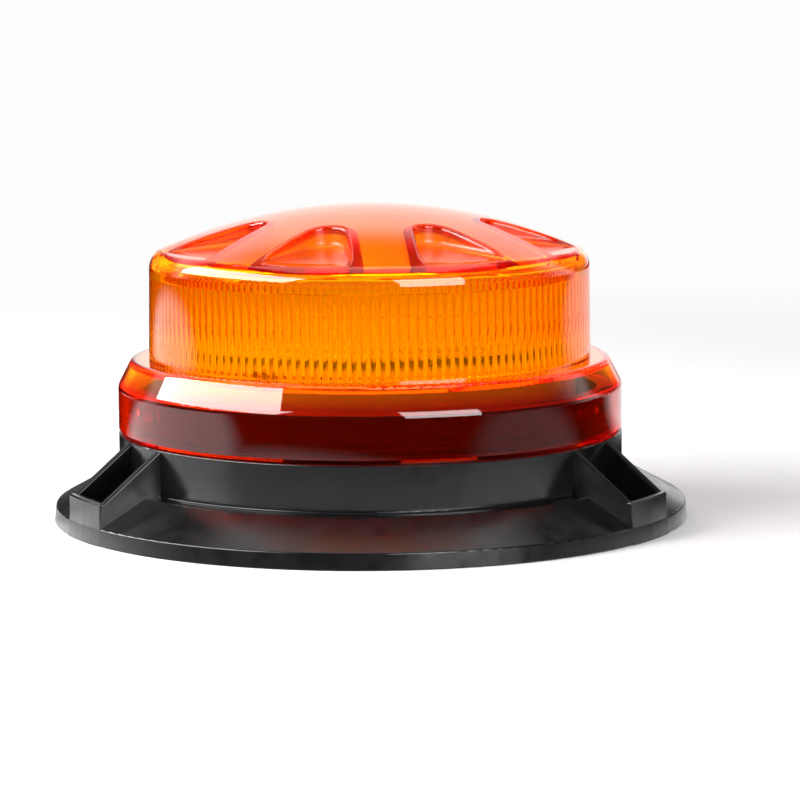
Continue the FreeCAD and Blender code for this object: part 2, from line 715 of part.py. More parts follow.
def driver_board():
    board = cylinder(BOARD_R, *BOARD_Z)
    cuts = around(cylinder(1.4, BOARD_Z[0] - 1, BOARD_Z[1] + 1, BOARD_SCREW_R), BOARD_SCREW_ANGLES)
    for index in (0, CELLS - 1):
        hole_r = LEAD_R + 0.05
        cuts.append(cylinder(hole_r, BOARD_Z[0] - 1, BOARD_Z[1] + 1, cell_x(index), -lead_y()))
    cuts += around(cylinder(1.6, BOARD_Z[0] - 1, BOARD_Z[1] + 1, 9.0), (0, 180))
    return board.cut(cuts)


def raised(length, width, height, x, y, corner):
    block = rounded_box(length / 2, width / 2, BOARD_Z[1], BOARD_Z[1] + height, corner)
    block.translate(vec(x, y, 0))
    return block


def chip_resistors():
    chips = []
    for row in range(3):
        for column in range(5):
            chips.append(raised(1.6, 0.8, 0.5, -12 + column * 3.0, 20 + row * 2.0, 0.1))
    return chips


def save_driver_parts():
    save("driver_board", [driver_board()])
    screw = pan_screw(1.25, 2.3, BOARD_Z[1], 20.2, 1.7, BOARD_SCREW_R)
    save("driver_board_screws", around(screw, BOARD_SCREW_ANGLES))
    save("microcontroller", [raised(7, 7, 1.2, -23, 6, 0.4)])
    save("power_inductor", [raised(8, 8, 4.0, 23, 4, 1.8)])
    capacitor = cylinder(3.15, BOARD_Z[1] + 0.8, BOARD_Z[1] + 4.3, 22, -8)
    save("smoothing_capacitor", [joined([capacitor, raised(6.6, 6.6, 0.9, 22, -8, 0.8)])])
    transistors = [raised(6.5, 6.0, 2.3, x, -22.0, 0.3) for x in (-8.5, 0, 8.5)]
    save("driver_transistors", transistors)
    save("chip_resistors", chip_resistors())


# ---------------------------------------------------------------- low LED tower


def hexagon(flats, z0, z1):
    """A hexagonal block whose first flat faces +X."""
    corner_r = flats / 2 / math.cos(math.pi / SIDES)
    corners = [(*polar(corner_r, 30 + i * 360 / SIDES), 0.5) for i in range(SIDES)]
    return plate_outline(corners, z0, z1)


def tower_core():
    """A hexagonal foot under a low hexagonal head whose six faces slope outwards."""
    foot = hexagon(TOWER_FLATS, BOARD_Z[1], HEAD_Z[1])
    head = hexagon(HEAD_FLATS[0], HEAD_Z[0], HEAD_Z[2])
    low = (HEAD_FLATS[0] / 2, HEAD_Z[1], 0)
    high = (HEAD_FLATS[1] / 2, HEAD_Z[2], 0)
    over = HEAD_Z[2] + 1
    above = [low, (low[0] + 5, low[1], 0), (low[0] + 5, over, 0), (high[0], over, 0), high]
    head = head.cut(around(section_block(above, low[0]), [i * 60 for i in range(SIDES)]))
    core = joined([foot, head])
    core = core.cut(cylinder(TOWER_BORE_R, BOARD_Z[1] - 1, HEAD_Z[2] + 1))
    return core.cut(around(cylinder(1.5 + THREAD_PLAY, BOARD_Z[1] - 1, 36, 9.0), (0, 180)))


def on_slope(shape):
    """Lays a shape that stands on z = 0 on the head's face: +X runs down from its upper edge."""
    run = (HEAD_FLATS[0] - HEAD_FLATS[1]) / 2
    fall = HEAD_Z[2] - HEAD_Z[1]
    laid = shape.copy()
    laid.rotate(ORIGIN, vec(0, 1, 0), math.degrees(math.atan2(fall, run)))
    laid.translate(vec(HEAD_FLATS[1] / 2, 0, HEAD_Z[2]))
    return laid


def led_package(x, y, z):
    """One LED, a square body with a low dome, that stands on z."""
    half = LED_SIZE / 2
    body = rounded_box(half, half, 0, LED_H * 0.6, 0.3)
    dome = Part.makeSphere(1.9, vec(0, 0, -0.7)).common(cylinder(1.7, 0, LED_H + 1))
    chip = joined([body, dome])
    chip.translate(vec(x, y, z))
    return chip


def save_tower_parts():
    save("led_tower_core", [tower_core()])
    screw = pan_screw(1.5, 2.6, BOARD_Z[0], 35.0, 1.7, 9.0)
    save("tower_screws", around(screw, (0, 180)))
    upper, lower = LED_BOARD_ENDS
    narrow, wide = (width / 2 for width in LED_BOARD_WIDTHS)
    corners = [(upper, -narrow, 0.5), (lower, -wide, 0.5), (lower, wide, 0.5), (upper, narrow, 0.5)]
    board = on_slope(plate_outline(corners, 0, LED_BOARD_T))
    chips = [on_slope(led_package(x, y, LED_BOARD_T)) for x, y in SIDE_LED_SPOTS]
    for i in range(SIDES):
        angle = i * 360 / SIDES
        save("led_board_%d" % (i + 1), [turned(board, angle)])
        save("side_leds_%d" % (i + 1), [turned(chip, angle) for chip in chips])
    top = HEAD_Z[2] + LED_BOARD_T
    save("top_led_board", [cylinder(TOP_LED_BOARD_R, HEAD_Z[2], top)])
    chip = led_package(TOP_LED_R, 0, top)
    save("top_leds", around(chip, [i * 360 / TOP_LEDS for i in range(TOP_LEDS)]))


def reflector():
    """A white tray that covers the driver board and throws light outwards."""
    inside = REFLECTOR_TOP_Z - REFLECTOR_T
    corners = [
        (REFLECTOR_R - REFLECTOR_T, DECK_TOP_Z, 0),
        (REFLECTOR_R, DECK_TOP_Z, 0),
        (REFLECTOR_R, REFLECTOR_TOP_Z, 1.5),
        (REFLECTOR_IN_R + 1.5, REFLECTOR_TOP_Z, 0),
        (REFLECTOR_IN_R, REFLECTOR_TOP_Z + 1.5, 0),
        (REFLECTOR_IN_R - 1, REFLECTOR_TOP_Z + 1.5, 0),
        (REFLECTOR_IN_R - 1, inside, 0),
        (REFLECTOR_R - REFLECTOR_T, inside, 0.4),
    ]
    tray = turned_solid(corners)
    hole = cylinder(1.4, inside - 1, REFLECTOR_TOP_Z + 1, REFLECTOR_SCREW_R)
    return tray.cut(around(hole, REFLECTOR_SCREW_ANGLES))


def save_reflector_parts():
    save("reflector", [reflector()])
    screw = pan_screw(1.25, 2.2, REFLECTOR_TOP_Z, 25.0, 1.4, REFLECTOR_SCREW_R)
    save("reflector_screws", around(screw, REFLECTOR_SCREW_ANGLES))


# ---------------------------------------------------------------- lens


def crown_edges(wall):
    """The crown's half section, a given wall inside the outer face: its edge's middle and end.

    Returns the height where the upright wall ends and the three arc points of the edge.
    """
    crown_r = CROWN_R - wall
    edge_r = CROWN_EDGE_R - wall
    side_r = LENS_TOP_R - wall
    centre_z = CROWN_Z - CROWN_R
    middle_r = side_r - edge_r
    edge_z = centre_z + math.sqrt((crown_r - edge_r) ** 2 - middle_r ** 2)
    lean = math.atan2(middle_r, edge_z - centre_z)
    half = (lean + math.pi / 2) / 2
    start = upright(side_r, edge_z)
    between = upright(middle_r + edge_r * math.sin(half), edge_z + edge_r * math.cos(half))
    end = upright(crown_r * math.sin(lean), centre_z + crown_r * math.cos(lean))
    over = upright(crown_r * math.sin(lean / 2), centre_z + crown_r * math.cos(lean / 2))
    top = upright(0, centre_z + crown_r)
    return start, between, end, over, top


def lens_half_section(lower, wall):
    """A solid of revolution: lower gives the corners up to the upright wall, then the crown."""
    start, between, end, over, top = crown_edges(wall)
    points = [upright(a, b) for a, b in lower] + [start]
    edges = [Part.LineSegment(points[i], points[i + 1]).toShape() for i in range(len(points) - 1)]
    edges.append(Part.Arc(start, between, end).toShape())
    edges.append(Part.Arc(end, over, top).toShape())
    edges.append(Part.LineSegment(top, points[0]).toShape())
    return Part.Face(Part.Wire(edges)).revolve(ORIGIN, Z_AXIS, 360)


RECESS_ANGLES = [SPOKE_TURN - 90 + (i + 0.5) * 360 / SPOKES for i in range(SPOKES)]


def recess_floor_z(reach):
    """The height of a recess's floor, which falls outwards, at a reach along its middle line."""
    return RECESS_END_Z + (RECESS_END_R - reach) * math.tan(math.radians(RECESS_SLOPE))


def crown_recess(margin):
    """A wedge between two spokes with a round inner tip, wider and lower by margin."""
    slope = math.pi / SPOKES
    tip = (SPOKE_HALF - margin) / math.sin(slope)
    reach = 60.0
    far_x = tip + reach * math.cos(slope)
    far_y = reach * math.sin(slope)
    corners = [(tip, 0, RECESS_TIP_R + margin), (far_x, -far_y, 0), (far_x, far_y, 0)]
    drop = margin / math.cos(math.radians(RECESS_SLOPE))
    low = recess_floor_z(90) - drop
    high = recess_floor_z(0) - drop
    wedge = plate_outline(corners, low, CROWN_Z + 2)
    return wedge.cut(section_block([(0, low - 1, 0), (90, low - 1, 0), (90, low, 0), (0, high, 0)], 50))


def crown_recesses(margin):
    return around(crown_recess(margin), RECESS_ANGLES)


def above_floor(point):
    """How far a point lies above the floor plane of the recess it is in."""
    half = 180 / SPOKES
    azimuth = math.degrees(math.atan2(point.y, point.x))
    offset = (azimuth - RECESS_ANGLES[0] + half) % (2 * half) - half
    reach = math.hypot(point.x, point.y) * math.cos(math.radians(offset))
    return point.z - recess_floor_z(reach)


def along(edge):
    """The start, middle and end of an edge."""
    first, last = edge.FirstParameter, edge.LastParameter
    return [edge.valueAt(first + (last - first) * share) for share in (0, 0.5, 1)]


def round_recesses(shape):
    """Rounds the floors and then the rims of the crown's recesses."""
    floors = []
    for edge in shape.Edges:
        nearest = min(math.hypot(point.x, point.y) for point in along(edge))
        if nearest < RECESS_FLOOR_END_R and all(abs(above_floor(p)) < 1e-3 for p in along(edge)):
            floors.append(edge)
    shape = shape.makeFillet(RECESS_FLOOR_ROUND, floors)
    centre = upright(0, CROWN_Z - CROWN_R)
    rims = []
    for edge in shape.Edges:
        on_crown = all(abs((point - centre).Length - CROWN_R) < 1e-3 for point in along(edge))
        if on_crown and above_floor(edge.CenterOfMass) > 0.3:
            rims.append(edge)
    return shape.makeFillet(RECESS_RIM_ROUND, rims)


def circles_at(shape, radius, z):
    """The level circular edges of a shape at a radius and height."""
    found = []
    for edge in shape.Edges:
        start = edge.valueAt(edge.FirstParameter)
        level = edge.BoundBox.ZLength < 1e-6 and abs(start.z - z) < 1e-6
        if level and abs(math.hypot(start.x, start.y) - radius) < 1e-6:
            found.append(edge)
    return found


def round_skirt(shape):
    """Rounds the two edges of the sloping band between the skirt and the upright wall."""
    shape = shape.makeFillet(SKIRT_ROUND, circles_at(shape, BODY_R, SKIRT_TOP_Z))
    return shape.makeFillet(SHOULDER_ROUND, circles_at(shape, CHAMFER_TOP_R, LENS_SHOULDER_Z))


def flute_ring():
    """A band inside the lens wall whose inner side is a row of upright half-round flutes."""
    valley = LENS_TOP_R - LENS_WALL + 0.05
    peak = valley - FLUTE_DEPTH
    step = 360 / FLUTES
    arcs = []
    for i in range(FLUTES):
        ends = [polar(valley, (i + shift) * step) for shift in (0, 1)]
        crest = polar(peak, (i + 0.5) * step)
        arcs.append(Part.Arc(flat(*ends[0]), flat(*crest), flat(*ends[1])).toShape())
    inner = Part.Face(Part.Wire(arcs))
    inner.translate(vec(0, 0, FLUTE_Z[0]))
    hollow = inner.extrude(vec(0, 0, FLUTE_Z[1] - FLUTE_Z[0]))
    return cylinder(valley + 0.6, *FLUTE_Z).cut(hollow)


def lens():
    outer_lower = [
        (0, LENS_BOTTOM_Z),
        (BODY_R - SKIRT_FOOT, LENS_BOTTOM_Z),
        (BODY_R, LENS_BOTTOM_Z + SKIRT_FOOT),
        (BODY_R, SKIRT_TOP_Z),
        (CHAMFER_TOP_R, LENS_SHOULDER_Z),
        (LENS_R, LENS_SHOULDER_Z),
    ]
    outer = round_skirt(lens_half_section(outer_lower, 0.0))
    outer = round_recesses(outer.cut(crown_recesses(0.0)))
    inner_lower = [
        (0, LENS_BOTTOM_Z - 1),
        (SKIRT_IN_R, LENS_BOTTOM_Z - 1),
        (SKIRT_IN_R, 26.95),
        (47.7, LENS_SHOULDER_Z - 2.05),
        (LENS_TOP_R - LENS_WALL + 0.05, LENS_SHOULDER_Z - 2.05),
    ]
    hollow = lens_half_section(inner_lower, LENS_WALL).cut(crown_recesses(LENS_WALL))
    hollow = hollow.cut(flute_ring())
    lugs = [sector(LUG_R, SKIRT_IN_R + 0.3, LUG_Z[0], LUG_Z[1], -LUG_HALF, LUG_HALF)]
    shell = outer.cut(hollow)
    return joined([shell] + around(lugs[0], LUG_ANGLES))


def save_lens_parts():
    save("lens", [lens()])
    save("lens_o_ring", [Part.makeTorus(48.7, 0.94, vec(0, 0, 20.5))])


# ---------------------------------------------------------------- build

os.makedirs("parts", exist_ok=True)
save("base_housing", [base_housing()])
save_base_plate_parts()
save_battery_parts()
save_door_parts()
save_button_parts()
save_driver_parts()
save_tower_parts()
save_reflector_parts()
save_lens_parts()
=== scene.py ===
"""Looks for an amber LED safety flare: a fluted clear-amber lens on a black bolt-down base.

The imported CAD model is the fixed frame. Every node keeps its place and gets a finish. The battery cells,
the contact coils and the mode button are modelled here again, in metres, with finer detail.
"""

import json
import logging
import math
from dataclasses import dataclass
from enum import Enum

import bmesh
import bpy
from mathutils import Matrix, Vector


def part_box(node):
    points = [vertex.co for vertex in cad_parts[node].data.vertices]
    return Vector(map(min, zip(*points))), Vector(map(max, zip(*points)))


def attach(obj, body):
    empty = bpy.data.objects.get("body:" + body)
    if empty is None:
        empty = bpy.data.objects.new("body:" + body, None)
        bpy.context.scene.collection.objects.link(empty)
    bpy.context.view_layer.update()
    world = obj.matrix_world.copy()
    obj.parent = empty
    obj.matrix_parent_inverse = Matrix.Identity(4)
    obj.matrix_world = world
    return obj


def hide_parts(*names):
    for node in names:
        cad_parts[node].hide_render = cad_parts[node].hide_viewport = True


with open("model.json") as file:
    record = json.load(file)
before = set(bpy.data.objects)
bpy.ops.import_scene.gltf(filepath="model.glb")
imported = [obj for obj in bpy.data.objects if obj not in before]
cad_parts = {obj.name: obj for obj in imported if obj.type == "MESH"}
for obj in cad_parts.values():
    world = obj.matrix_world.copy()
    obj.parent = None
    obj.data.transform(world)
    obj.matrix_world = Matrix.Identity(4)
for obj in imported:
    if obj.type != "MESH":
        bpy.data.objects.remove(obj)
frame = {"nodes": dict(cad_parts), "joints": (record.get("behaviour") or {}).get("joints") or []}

LOG = logging.getLogger("safety_flare")
MM = 0.001
Triple = tuple[float, float, float]
Colour = Triple
Range = tuple[float, float]
Socket = bpy.types.NodeSocket
NOISE_ENDS = (0.3, 0.7)


class Body(str, Enum):
    """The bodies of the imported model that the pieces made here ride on."""

    BASE = "base"
    BUTTON = "button"


class Step(str, Enum):
    """How a mapped value runs from one end to the other."""

    EVEN = "LINEAR"
    SMOOTH = "SMOOTHSTEP"


def direction(azimuth: float, elevation: float) -> Vector:
    """Finds the way from the object to something round it.

    Args:
        azimuth: Degrees round from the front, towards the right.
        elevation: Degrees above the horizon.

    Returns:
        The direction, of length 1.
    """
    a, e = math.radians(azimuth), math.radians(elevation)
    return Vector((math.sin(a) * math.cos(e), -math.cos(a) * math.cos(e), math.sin(e)))


# ---------------------------------------------------------------- finishes


class NodeTree:
    """A node tree, wired up step by step."""

    def __init__(self, owner: bpy.types.Material | bpy.types.World) -> None:
        """Starts with an empty tree.

        Args:
            owner: The material or the world that the tree belongs to.
        """
        owner.use_nodes = True
        self.tree = owner.node_tree
        self.tree.nodes.clear()

    def link(self, source: Socket, target: Socket) -> None:
        """Joins two sockets."""
        self.tree.links.new(source, target)

    def node(self, kind: str, **values: object) -> bpy.types.Node:
        """Adds a node.

        Args:
            kind: The node's type.
            values: Attributes of the node, or values of the inputs of the same name.

        Returns:
            The new node.
        """
        made = self.tree.nodes.new(kind)
        for name, value in values.items():
            if hasattr(made, name):
                setattr(made, name, value)
            else:
                made.inputs[name.replace("_", " ")].default_value = value
        return made

    def span(self, source: Socket, ends: Range, values: Range = (0.0, 1.0),
             step: Step = Step.EVEN) -> Socket:
        """Maps one range of values to another.

        Args:
            source: What drives it.
            ends: Where the mapping starts and ends.
            values: The values that the ends become.
            step: How the value runs between them.

        Returns:
            The mapped value.
        """
        made = self.node("ShaderNodeMapRange", interpolation_type=step.value, From_Min=ends[0],
                         From_Max=ends[1], To_Min=values[0], To_Max=values[1])
        self.link(source, made.inputs["Value"])
        return made.outputs["Result"]

    def combine(self, operation: str, one: Socket, two: Socket | float) -> Socket:
        """Works out a value from two others.

        Args:
            operation: The math operation.
            one: The first value.
            two: The second value.

        Returns:
            The result.
        """
        made = self.node("ShaderNodeMath", operation=operation)
        self.link(one, made.inputs[0])
        if isinstance(two, float):
            made.inputs[1].default_value = two
        else:
            self.link(two, made.inputs[1])
        return made.outputs[0]

    def measure(self, operation: str, one: Socket, two: Triple | Vector = (0, 0, 0)) -> Socket:
        """Works out a value from vectors.

        Args:
            operation: The vector math operation.
            one: The first vector.
            two: The second vector, for an operation that has one.

        Returns:
            The result.
        """
        made = self.node("ShaderNodeVectorMath", operation=operation)
        self.link(one, made.inputs[0])
        made.inputs[1].default_value = two
        return made.outputs["Value"]

    def mixed(self, share: Socket, one: Socket, two: Socket) -> Socket:
        """Blends two shaders.

        Args:
            share: How much of the second one shows.
            one: The first shader.
            two: The second shader.

        Returns:
            The blend.
        """
        made = self.node("ShaderNodeMixShader")
        self.link(share, made.inputs["Fac"])
        self.link(one, made.inputs[1])
        self.link(two, made.inputs[2])
        return made.outputs["Shader"]


class NodeMaterial(NodeTree):
    """A material with one principled shader."""

    def __init__(self, name: str) -> None:
        """Starts with a plain shader.

        Args:
            name: The material's name.
        """
        self.material = bpy.data.materials.new(name)
        super().__init__(self.material)
        self.output = self.node("ShaderNodeOutputMaterial")
        self.shader = self.node("ShaderNodeBsdfPrincipled")
        self.link(self.shader.outputs["BSDF"], self.output.inputs["Surface"])
        self.place = self.node("ShaderNodeTexCoord").outputs["Object"]

    def set(self, **values: object) -> None:
        """Sets values on the shader's own sockets."""
        for name, value in values.items():
            self.shader.inputs[name.replace("_", " ")].default_value = value

    def drive(self, name: str, source: Socket) -> None:
        """Lets a socket drive one of the shader's inputs."""
        self.link(source, self.shader.inputs[name])

    def noise(self, size: float, detail: float = 2.0, stretch: Triple = (1, 1, 1)) -> Socket:
        """Adds a noise on object coordinates.

        Args:
            size: The pattern's typical size in metres.
            detail: How many finer layers it has.
            stretch: How much longer the pattern is along each axis.

        Returns:
            The noise's factor.
        """
        mapping = self.node("ShaderNodeMapping")
        mapping.inputs["Scale"].default_value = [1 / (size * s) for s in stretch]
        self.link(self.place, mapping.inputs["Vector"])
        noise = self.node("ShaderNodeTexNoise", Scale=1.0, Detail=detail)
        self.link(mapping.outputs["Vector"], noise.inputs["Vector"])
        return noise.outputs["Fac"]

    def ramp(self, noise: Socket, low: Colour, high: Colour) -> Socket:
        """Adds a colour ramp over a noise.

        Args:
            noise: The noise that drives it.
            low: The colour where the noise is low.
            high: The colour where it is high.

        Returns:
            The ramp's colour.
        """
        ramp = self.node("ShaderNodeValToRGB")
        for stop, place, colour in zip(ramp.color_ramp.elements, NOISE_ENDS, (low, high)):
            stop.position = place
            stop.color = (*colour, 1)
        self.link(noise, ramp.inputs["Fac"])
        return ramp.outputs["Color"]

    def bump(self, factor: Socket, height: float,
             below: bpy.types.Node | None = None) -> bpy.types.Node:
        """Adds a bump of a real height, on top of another one where there is one.

        Args:
            factor: The height pattern, from 0 to 1.
            height: The pattern's height in metres.
            below: The bump that this one lies on.

        Returns:
            The bump node.
        """
        bump = self.node("ShaderNodeBump", Strength=1.0, Distance=height)
        self.link(factor, bump.inputs["Height"])
        if below is not None:
            self.link(below.outputs["Normal"], bump.inputs["Normal"])
        self.drive("Normal", bump.outputs["Normal"])
        return bump


@dataclass(frozen=True)
class Plastic:
    """A moulded opaque plastic or rubber with a spark-eroded grain."""

    name: str
    colour: Colour
    roughness: float = 0.45
    grain: float = 0.28 * MM
    grain_height: float = 0.006 * MM
    drift: float = 0.15
    cloud: float = 9 * MM
    gloss_patch: float = 4 * MM
    gloss_drift: Range = (-0.05, 0.06)
    wave: float = 14 * MM
    wave_height: float = 0.03 * MM

    def material(self) -> bpy.types.Material:
        """Builds the material.

        Returns:
            A material whose colour, gloss and grain vary as moulded plastic's do.
        """
        made = NodeMaterial(self.name)
        dark = tuple(c * (1 - self.drift) for c in self.colour)
        light = tuple(min(1, c * (1 + self.drift)) for c in self.colour)
        made.drive("Base Color", made.ramp(made.noise(self.cloud, 3), dark, light))
        gloss = tuple(self.roughness + drift for drift in self.gloss_drift)
        made.drive("Roughness", made.span(made.noise(self.gloss_patch, 4), NOISE_ENDS, gloss))
        grain = made.bump(made.noise(self.grain, 1.5), self.grain_height)
        made.bump(made.noise(self.wave, 1), self.wave_height, grain)
        return made.material


@dataclass(frozen=True)
class Metal:
    """A bare or plated metal with fine working marks."""

    name: str
    colour: Colour
    roughness: float = 0.28
    marks: Triple = (1, 1, 1)
    mark_size: float = 0.15 * MM
    mark_height: float = 0.002 * MM
    gloss_drift: Range = (0.7, 1.4)
    stain: float = 2.5 * MM
    stain_shade: float = 0.78

    def material(self) -> bpy.types.Material:
        """Builds the material.

        Returns:
            A metal whose gloss is broken by fine marks and faint stains.
        """
        made = NodeMaterial(self.name)
        made.set(Metallic=1.0)
        dull = tuple(c * self.stain_shade for c in self.colour)
        made.drive("Base Color", made.ramp(made.noise(self.stain, 4), dull, self.colour))
        marks = made.noise(self.mark_size, 2, self.marks)
        gloss = tuple(self.roughness * drift for drift in self.gloss_drift)
        made.drive("Roughness", made.span(marks, NOISE_ENDS, gloss))
        made.bump(marks, self.mark_height)
        return made.material


@dataclass(frozen=True)
class AmberClear:
    """Clear amber polycarbonate: the deeper the light's path, the redder it gets. Its base colour also
    carries painted shade: darker and redder at the top of the wall, in the skirt and in the crown.
    """

    name: str
    wall_tint: Colour = (1.0, 1.0, 0.7)
    # painted shade: these tints paint the top of the wall, the skirt and the crown darker and redder than
    # the plain wall tint
    wall_top_painted_shade_tint: Colour = (1.0, 0.84, 0.6)
    skirt_painted_shade_tint: Colour = (0.62, 0.035, 0.012)
    crown_painted_shade_tint: Colour = (1.0, 0.64, 0.46)
    # heights where the painted skirt shade fades out, and where the painted crown shade and the frosting
    # begin
    skirt_painted_shade_ends: Range = (28.0 * MM, 34.5 * MM)
    crown_starts: Range = (49.0 * MM, 50.6 * MM)
    ramp_height: float = 64 * MM
    crown_centre: Triple = (0, 0, -40.8 * MM)
    crown_inside: Range = (104.0 * MM, 103.9 * MM)
    crown_rim: Range = (40.8 * MM, 40.0 * MM)
    absorbed: Colour = (0.994, 0.922, 0.0)
    density: float = 2500.0
    ior: float = 1.58
    roughness: float = 0.02
    frost: float = 0.28
    ripple: float = 6 * MM
    ripple_height: float = 0.004 * MM

    def tint_with_painted_shade(self, made: NodeMaterial, height: Socket) -> Socket:
        """Adds the tint with painted shade: the base colour is painted darker and redder in the skirt and
        the crown than in the upright wall, standing in for the longer light paths there.

        Args:
            made: The material it belongs to.
            height: The height above the flange's underside.

        Returns:
            The tint's colour.
        """
        tint_with_painted_shade = made.node("ShaderNodeValToRGB")
        made.link(made.span(height, (0.0, self.ramp_height)), tint_with_painted_shade.inputs["Fac"])
        tint_with_painted_shade.color_ramp.elements.new(1.0)
        tint_with_painted_shade.color_ramp.elements.new(1.0)
        heights = (*self.skirt_painted_shade_ends, *self.crown_starts)
        colours = (self.skirt_painted_shade_tint, self.wall_tint, self.wall_top_painted_shade_tint, self.crown_painted_shade_tint)
        for stop, place, colour in zip(tint_with_painted_shade.color_ramp.elements, heights, colours):
            stop.position = place / self.ramp_height
            stop.color = (*colour, 1)
        return tint_with_painted_shade.outputs["Color"]

    def frosting(self, made: NodeMaterial, height: Socket) -> Socket:
        """Adds the roughness, which is higher inside the crown, where the mould is textured.

        Args:
            made: The material it belongs to.
            height: The height above the flange's underside.

        Returns:
            The roughness.
        """
        level = made.node("ShaderNodeVectorMath", operation="MULTIPLY")
        made.link(made.place, level.inputs[0])
        level.inputs[1].default_value = (1, 1, 0)
        radius = made.measure("LENGTH", level.outputs["Vector"])
        depth = made.measure("DISTANCE", made.place, self.crown_centre)
        inside = made.span(height, self.crown_starts)
        for source, ends in ((depth, self.crown_inside), (radius, self.crown_rim)):
            inside = made.combine("MULTIPLY", inside, made.span(source, ends))
        return made.span(inside, (0.0, 1.0), (self.roughness, self.frost))

    def material(self) -> bpy.types.Material:
        """Builds the material.

        Returns:
            A clear material that absorbs light along its path.
        """
        made = NodeMaterial(self.name)
        made.set(Transmission_Weight=1.0, IOR=self.ior)
        place = made.node("ShaderNodeSeparateXYZ")
        made.link(made.place, place.inputs["Vector"])
        height = place.outputs["Z"]
        # the base colour carries painted shade: a darker, redder skirt, wall top and crown
        made.drive("Base Color", self.tint_with_painted_shade(made, height))
        made.drive("Roughness", self.frosting(made, height))
        made.bump(made.noise(self.ripple, 1), self.ripple_height)
        volume = made.node("ShaderNodeVolumeAbsorption", Color=(*self.absorbed, 1), Density=self.density)
        made.link(volume.outputs["Volume"], made.output.inputs["Volume"])
        return made.material


Finish = Plastic | Metal | AmberClear

BLACK_HOUSING = Plastic("satin_black_housing", (0.0035, 0.0033, 0.0037), 0.20)
BLACK_PLATE = Plastic("grained_black_plate", (0.022, 0.022, 0.023), 0.52, 0.4 * MM, 0.012 * MM)
BLACK_TRAY = Plastic("matt_black_tray", (0.03, 0.03, 0.03), 0.6)
SEAL_RUBBER = Plastic("seal_rubber", (0.03, 0.03, 0.03), 0.72, 0.5 * MM, 0.004 * MM)
BUTTON_RUBBER = Plastic("button_rubber", (0.035, 0.035, 0.037), 0.62, 0.35 * MM, 0.006 * MM)
SWITCH_BLACK = Plastic("switch_black", (0.03, 0.03, 0.03), 0.38)
CHIP_BLACK = Plastic("chip_epoxy", (0.028, 0.028, 0.030), 0.55, 0.12 * MM, 0.004 * MM)
BOARD_GREEN = Plastic("board_green_mask", (0.008, 0.11, 0.035), 0.28, 0.9 * MM, 0.003 * MM)
BOARD_WHITE = Plastic("board_white_mask", (0.78, 0.79, 0.77), 0.35, 0.9 * MM, 0.003 * MM, 0.04)
TOWER_WHITE = Plastic("white_tower_plastic", (0.80, 0.80, 0.78), 0.42, 0.3 * MM, 0.004 * MM, 0.04)
REFLECTOR_WHITE = Plastic("white_reflector_plastic", (0.86, 0.86, 0.84), 0.22, 0.5 * MM, 0.002 * MM, 0.03)
LEAD_RED = Plastic("red_lead_sleeve", (0.45, 0.015, 0.012), 0.36, 0.3 * MM, 0.003 * MM)
LEAD_BLACK = Plastic("black_lead_sleeve", (0.018, 0.018, 0.018), 0.36, 0.3 * MM, 0.003 * MM)
CELL_SLEEVE = Plastic("cell_sleeve", (0.03, 0.075, 0.16), 0.22, 1.2 * MM, 0.003 * MM)
PHOSPHOR = Plastic("led_phosphor", (0.85, 0.70, 0.12), 0.3, 0.15 * MM, 0.003 * MM, 0.06)
SCREW_STEEL = Metal("zinc_plated_screws", (0.62, 0.61, 0.58), 0.30)
MAGNET_STEEL = Metal("magnet_cup_steel", (0.56, 0.56, 0.57), 0.34)
MAGNET_NICKEL = Metal("magnet_nickel", (0.70, 0.68, 0.64), 0.20)
CONTACT_NICKEL = Metal("contact_nickel", (0.66, 0.63, 0.58), 0.24, (1, 8, 1))
CAPACITOR_METAL = Metal("capacitor_can", (0.72, 0.72, 0.74), 0.22)
LENS_AMBER = AmberClear("amber_polycarbonate")

NODE_FINISHES = {
    "housing_black": BLACK_HOUSING,
    "plate_black": BLACK_PLATE,
    "tray_black": BLACK_TRAY,
    "seal_rubber": SEAL_RUBBER,
    "button_rubber": BUTTON_RUBBER,
    "screw_steel": SCREW_STEEL,
    "magnet_steel": MAGNET_STEEL,
    "magnet_nickel": MAGNET_NICKEL,
    "contact_nickel": CONTACT_NICKEL,
    "cell_sleeve": CELL_SLEEVE,
    "lead_red": LEAD_RED,
    "lead_black": LEAD_BLACK,
    "switch_black": SWITCH_BLACK,
    "board_green": BOARD_GREEN,
    "board_white": BOARD_WHITE,
    "chip_black": CHIP_BLACK,
    "capacitor_metal": CAPACITOR_METAL,
    "tower_white": TOWER_WHITE,
    "reflector_white": REFLECTOR_WHITE,
    "led_phosphor": PHOSPHOR,
    "lens_amber": LENS_AMBER,
}


class FinishShelf:
    """Builds each finish once and hands it out."""

    def __init__(self) -> None:
        """Starts with nothing built."""
        self.built: dict[str, bpy.types.Material] = {}

    def get(self, finish: Finish) -> bpy.types.Material:
        """Gives a finish's material.

        Args:
            finish: The finish.

        Returns:
            Its material, built the first time.
        """
        if finish.name not in self.built:
            self.built[finish.name] = finish.material()
        return self.built[finish.name]

    def dress_nodes(self) -> None:
        """Gives every CAD node the finish of its material slot."""
        for name, node in frame["nodes"].items():
            for slot in node.material_slots:
                slot.material = self.get(NODE_FINISHES[slot.material.name.split(".")[0]])
            LOG.info("dressed %s", name)


# ---------------------------------------------------------------- pieces


